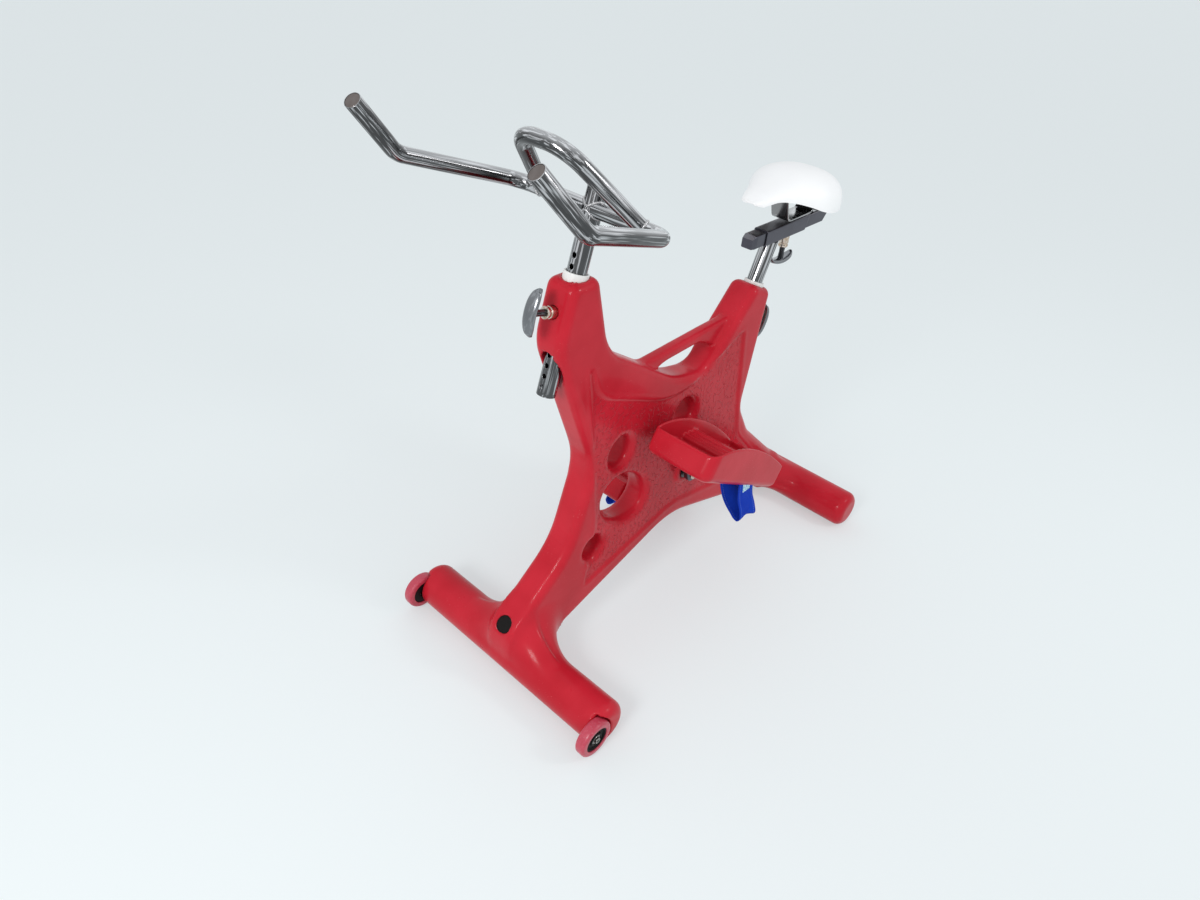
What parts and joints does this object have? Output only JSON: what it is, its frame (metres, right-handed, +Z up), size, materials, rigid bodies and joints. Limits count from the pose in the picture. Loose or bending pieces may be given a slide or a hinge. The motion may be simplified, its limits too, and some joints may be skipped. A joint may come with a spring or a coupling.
{
  "type": "aqua bike",
  "caption": "Pool pedal trainer: moulded plate frame on two round cross feet, steel handlebar and saddle posts with pull pins, tray pedals with straps, and front wheels.",
  "frame": {"origin": "on the floor, under the middle of the bike's overall box", "axes": "+X forwards, +Y to the rider's left, +Z up"},
  "size_m": [1.1948, 0.572, 1.1701],
  "materials": {
    "red_plastic": "moulded polyethylene, semi-gloss, with a fine leaf grain in the side recesses",
    "white_plastic": "plain white acetal guide",
    "bush_plastic": "natural plastic bush",
    "black_plastic": "matt black plastic",
    "polished_steel": "polished stainless steel",
    "dark_steel": "satin stainless steel, grey",
    "end_disc": "flat welded end disc, satin",
    "nickel": "warm nickel plate",
    "saddle_white": "smooth white self-skinning foam",
    "blue_webbing": "woven royal blue webbing with light stitching",
    "red_tyre": "translucent-looking pinkish red polyurethane"
  },
  "bodies": {
    "frame": {"frame_body": "red_plastic", "drain_plug": "black_plastic", "front_collar": "white_plastic", "front_lower_bush": "bush_plastic", "rear_collar": "white_plastic", "rear_lower_bush": "bush_plastic", "front_pin_boss": "nickel", "front_pin_spring": "dark_steel", "rear_pin_boss": "nickel", "rear_pin_spring": "dark_steel", "crank_bearing_left": "dark_steel", "crank_bearing_right": "dark_steel", "wheel_bolt_left": "polished_steel", "wheel_bolt_right": "polished_steel"},
    "handlebar": {"handlebar_post": "polished_steel", "handlebar_post_cap": "polished_steel", "handlebar_left": "polished_steel", "handlebar_right": "polished_steel", "bar_end_left": "end_disc", "bar_end_right": "end_disc", "centre_loop": "polished_steel"},
    "front_pin": {"front_pin_shaft": "polished_steel", "front_pin_wing": "polished_steel"},
    "saddle_mast": {"saddle_post": "polished_steel", "slide_sleeve": "dark_steel", "slide_pin_boss": "nickel", "slide_pin_spring": "dark_steel"},
    "rear_pin": {"rear_pin_shaft": "polished_steel", "rear_pin_wing": "polished_steel"},
    "saddle": {"slide_bar": "dark_steel", "slide_bar_cap": "dark_steel", "saddle_bracket": "polished_steel", "saddle_bracket_bolt": "polished_steel", "saddle_pan": "black_plastic", "saddle_shell": "saddle_white"},
    "slide_pin": {"slide_pin_shaft": "polished_steel", "slide_pin_wing": "polished_steel"},
    "crank": {"crank_axle": "polished_steel", "crank_left": "dark_steel", "crank_right": "dark_steel", "crank_bolt_left": "nickel", "crank_bolt_right": "nickel", "pedal_spindle_left": "polished_steel", "pedal_spindle_right": "polished_steel"},
    "left_pedal": {"pedal_left": "red_plastic", "pedal_bush_left": "bush_plastic", "pedal_strap_left": "blue_webbing"},
    "right_pedal": {"pedal_right": "red_plastic", "pedal_bush_right": "bush_plastic", "pedal_strap_right": "blue_webbing"},
    "left_wheel": {"wheel_tyre_left": "red_tyre", "wheel_hub_left": "black_plastic", "wheel_bearing_left": "polished_steel"},
    "right_wheel": {"wheel_tyre_right": "red_tyre", "wheel_hub_right": "black_plastic", "wheel_bearing_right": "polished_steel"}
  },
  "joints": [
    {"name": "handlebar_height", "type": "slide", "parent": "frame", "child": "handlebar", "axis": [-0.2676, 0, 0.9635], "range_m": [-0.04, 0.08]},
    {"name": "front_pin_pull", "type": "slide", "parent": "frame", "child": "front_pin", "axis": [0.9635, 0, 0.2676], "range_m": [0, 0.01], "stiffness_N_per_m": 1500, "springref_m": -0.006},
    {"name": "saddle_height", "type": "slide", "parent": "frame", "child": "saddle_mast", "axis": [-0.3649, 0, 0.9311], "range_m": [-0.06, 0.06]},
    {"name": "rear_pin_pull", "type": "slide", "parent": "frame", "child": "rear_pin", "axis": [-0.9311, 0, -0.3649], "range_m": [0, 0.01], "stiffness_N_per_m": 1500, "springref_m": -0.006},
    {"name": "saddle_fore_aft", "type": "slide", "parent": "saddle_mast", "child": "saddle", "axis": [1, 0, 0], "range_m": [-0.075, 0.015]},
    {"name": "slide_pin_pull", "type": "slide", "parent": "saddle_mast", "child": "slide_pin", "axis": [0, 0, -1], "range_m": [0, 0.01], "stiffness_N_per_m": 1500, "springref_m": -0.006},
    {"name": "crank_spin", "type": "hinge", "parent": "frame", "child": "crank", "pos_m": [-0.07651, 0, 0.29723], "axis": [0, 1, 0], "continuous": true},
    {"name": "left_pedal_spin", "type": "hinge", "parent": "crank", "child": "left_pedal", "pos_m": [-0.02619, 0.145, 0.43854], "axis": [0, 1, 0], "continuous": true},
    {"name": "right_pedal_spin", "type": "hinge", "parent": "crank", "child": "right_pedal", "pos_m": [-0.12682, -0.145, 0.15593], "axis": [0, 1, 0], "continuous": true},
    {"name": "left_wheel_spin", "type": "hinge", "parent": "frame", "child": "left_wheel", "pos_m": [0.46542, 0.272, 0.0463], "axis": [0, 1, 0], "continuous": true},
    {"name": "right_wheel_spin", "type": "hinge", "parent": "frame", "child": "right_wheel", "pos_m": [0.46542, -0.272, 0.0463], "axis": [0, 1, 0], "continuous": true}
  ]
}
